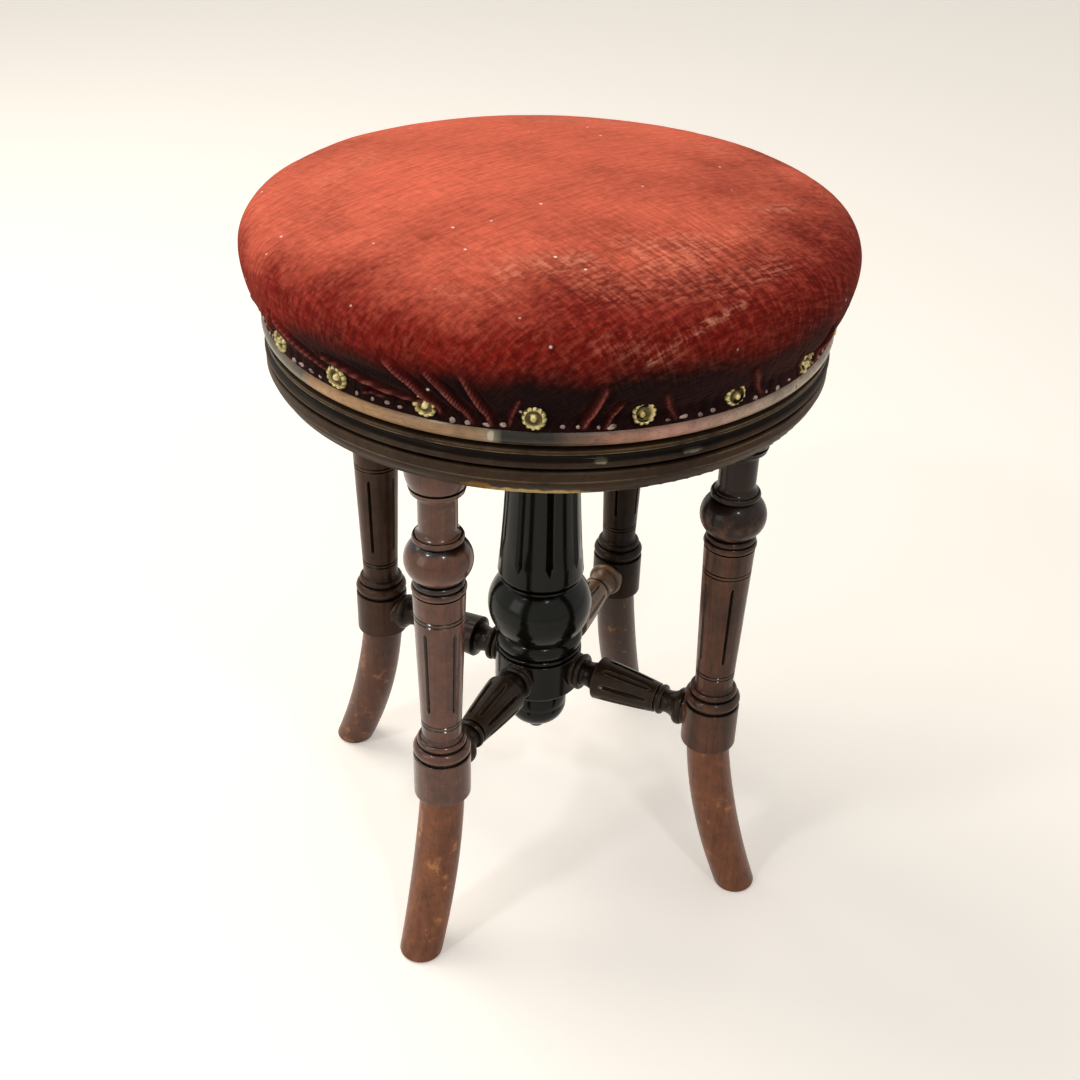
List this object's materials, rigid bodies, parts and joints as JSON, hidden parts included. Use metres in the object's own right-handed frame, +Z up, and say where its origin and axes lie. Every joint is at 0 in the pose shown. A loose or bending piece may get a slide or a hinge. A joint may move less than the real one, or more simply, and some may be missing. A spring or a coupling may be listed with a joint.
{
  "type": "revolving piano stool",
  "caption": "Round upholstered stool on a lift screw, with a turned centre column, turned legs, sabre feet and radial stretchers.",
  "frame": {"origin": "on the floor under the centre of the column", "axes": "+Z up through the column; the legs stand on the diagonals between X and Y, and -Y is the front"},
  "size_m": [0.36, 0.36, 0.4885],
  "materials": {
    "stained_wood": "dark red-brown polished hardwood",
    "ebonised_wood": "ebonised hardwood, French polished",
    "foot_wood": "red-brown stained hardwood, worn at the tips",
    "seat_wood": "warm brown hardwood, worn polish",
    "iron": "as cast, blackened",
    "steel": "dull, greased",
    "leather": "compressed sole leather",
    "stuffing": "horsehair and wadding",
    "velvet": "worn crimson cotton velvet",
    "brass": "aged pressed brass"
  },
  "bodies": {
    "frame": {"platform_lower_board": "stained_wood", "platform_upper_board": "stained_wood", "column": "ebonised_wood", "column_drop": "ebonised_wood", "leg_front_left": "stained_wood", "foot_front_left": "foot_wood", "stretcher_front_left": "stained_wood", "leg_front_right": "stained_wood", "foot_front_right": "foot_wood", "stretcher_front_right": "stained_wood", "leg_back_right": "stained_wood", "foot_back_right": "foot_wood", "stretcher_back_right": "stained_wood", "leg_back_left": "stained_wood", "foot_back_left": "foot_wood", "stretcher_back_left": "stained_wood", "screw_nut": "iron", "nut_screws": "steel"},
    "washer": {"leather_washer": "leather"},
    "seat": {"lift_screw": "steel", "screw_pin": "steel", "seat_flange": "iron", "flange_screws": "steel", "seat_board": "seat_wood", "stuffing_pad": "stuffing", "velvet_cover": "velvet", "brass_nails": "brass", "upholstery_tacks": "steel"}
  },
  "joints": [
    {"name": "seat_lift", "type": "slide", "parent": "frame", "child": "washer", "axis": [0, 0, 1], "range_m": [0, 0.0961]},
    {"name": "seat_spin", "type": "hinge", "parent": "washer", "child": "seat", "pos_m": [0, 0, 0.4], "axis": [0, 0, 1], "range_deg": [0, 5760]}
  ],
  "couplings": [
    {"joint": "seat_lift", "follows": "seat_spin", "m_per_rad": 0.00095493}
  ]
}
